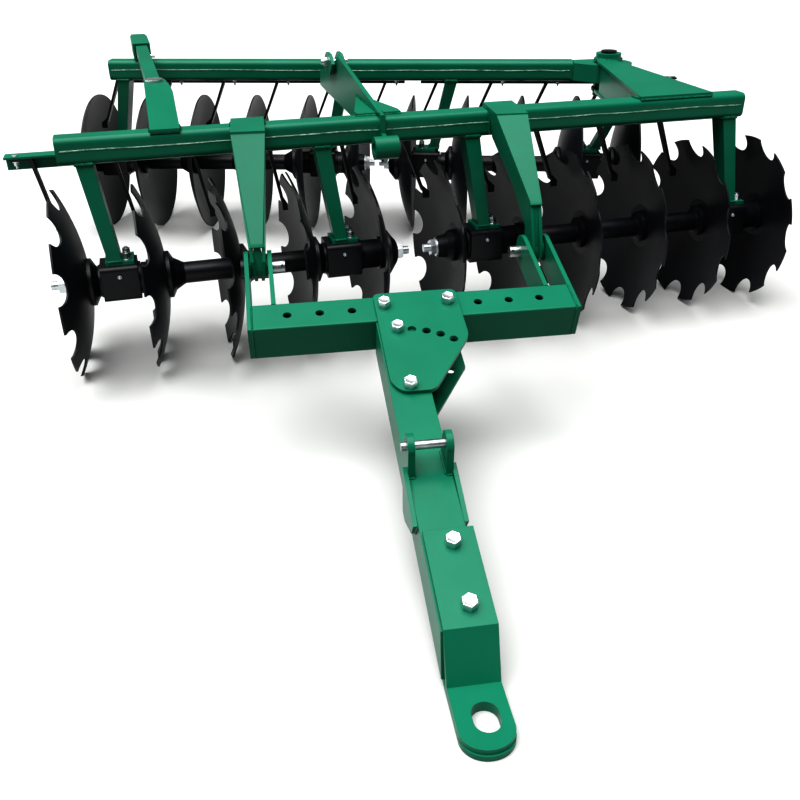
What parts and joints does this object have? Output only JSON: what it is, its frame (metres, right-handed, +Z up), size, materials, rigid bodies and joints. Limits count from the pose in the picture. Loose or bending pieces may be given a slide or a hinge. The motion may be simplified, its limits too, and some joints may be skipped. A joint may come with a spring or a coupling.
{
  "type": "disc harrow",
  "caption": "Trailed offset disc harrow: a notched front row and a plain rear row of dished discs on spooled shafts, hinged at one end, with a hinged drawbar and eye.",
  "frame": {"origin": "on the floor under the middle of the whole machine's bounding box, drawbar eye resting on the floor", "axes": "+X to the right seen from behind, +Y to the rear, +Z up; the machine is towed toward -Y"},
  "size_m": [2.6774, 3.3782, 0.801],
  "materials": {
    "green_paint": "gloss",
    "black_paint": "satin",
    "disc_steel": "satin",
    "black_castings": "gloss black",
    "bright_zinc": "zinc plated",
    "pin_steel": "bright"
  },
  "bodies": {
    "front_frame": {"front_beam": "green_paint", "hangers_front": "green_paint", "bearings_front": "black_castings", "scraper_bar_front": "green_paint", "scraper_tabs_front": "green_paint", "scrapers_front": "black_paint", "hitch_bracket_left": "green_paint", "hitch_bracket_right": "green_paint", "centre_arm": "green_paint", "centre_arm_ears": "green_paint", "centre_arm_bolt": "bright_zinc", "angle_arm": "green_paint", "link_pin": "bright_zinc", "pivot_bracket": "green_paint", "pivot_cap": "black_paint"},
    "rear_frame": {"rear_beam": "green_paint", "hangers_rear": "green_paint", "bearings_rear": "black_castings", "scraper_bars_rear": "black_paint", "scraper_tabs_rear": "black_paint", "scrapers_rear": "black_paint", "sleeve_stud": "green_paint"},
    "link": {"link_bar": "green_paint", "link_stop_pin": "bright_zinc"},
    "sleeve": {"link_sleeve": "green_paint"},
    "hitch": {"hitch_cross_beam": "green_paint", "hitch_arms": "green_paint", "hitch_pins": "pin_steel", "clamp_plate_top": "green_paint", "clamp_plate_bottom": "green_paint", "clamp_bolts": "bright_zinc", "drawbar_tube": "green_paint", "hitch_strap_top": "green_paint", "hitch_strap_bottom": "green_paint", "ear_plates": "green_paint", "ear_pin": "pin_steel"},
    "gang_front_left": {"discs_front_left": "disc_steel", "spools_front_left": "black_castings", "shaft_front_left": "bright_zinc"},
    "gang_front_right": {"discs_front_right": "disc_steel", "spools_front_right": "black_castings", "shaft_front_right": "bright_zinc"},
    "gang_rear_left": {"discs_rear_left": "disc_steel", "spools_rear_left": "black_castings", "shaft_rear_left": "bright_zinc"},
    "gang_rear_right": {"discs_rear_right": "disc_steel", "spools_rear_right": "black_castings", "shaft_rear_right": "bright_zinc"}
  },
  "joints": [
    {"name": "rear_swing", "type": "hinge", "parent": "front_frame", "child": "rear_frame", "pos_m": [0.90578, 0.91384, 0.69], "axis": [0, 0, 1], "range_deg": [-2, 4]},
    {"name": "link_swing", "type": "hinge", "parent": "front_frame", "child": "link", "pos_m": [-0.82655, 0.3889, 0.75], "axis": [0, 0, 1], "range_deg": [-1.5, 3]},
    {"name": "sleeve_swing", "type": "hinge", "parent": "rear_frame", "child": "sleeve", "pos_m": [-0.95925, 1.32628, 0.72], "axis": [0, 0, 1], "range_deg": [-1.2, 0.6]},
    {"name": "hitch_pitch", "type": "hinge", "parent": "front_frame", "child": "hitch", "pos_m": [-0.14295, -0.31102, 0.39549], "axis": [-1, 0, 0], "range_deg": [0, 28]},
    {"name": "front_left_spin", "type": "hinge", "parent": "front_frame", "child": "gang_front_left", "pos_m": [-0.72347, -0.00718, 0.28], "axis": [0.994, 0.1097, 0], "continuous": true},
    {"name": "front_right_spin", "type": "hinge", "parent": "front_frame", "child": "gang_front_right", "pos_m": [0.43947, 0.12121, 0.28], "axis": [0.994, 0.1097, 0], "continuous": true},
    {"name": "rear_left_spin", "type": "hinge", "parent": "rear_frame", "child": "gang_rear_left", "pos_m": [-0.79465, 1.33145, 0.28], "axis": [0.9785, -0.2062, 0], "continuous": true},
    {"name": "rear_right_spin", "type": "hinge", "parent": "rear_frame", "child": "gang_rear_right", "pos_m": [0.542, 1.04977, 0.28], "axis": [0.9785, -0.2062, 0], "continuous": true}
  ],
  "couplings": [
    {"joint": "link_swing", "follows": "rear_swing", "ratio": 0.72},
    {"joint": "sleeve_swing", "follows": "rear_swing", "ratio": -0.28}
  ]
}
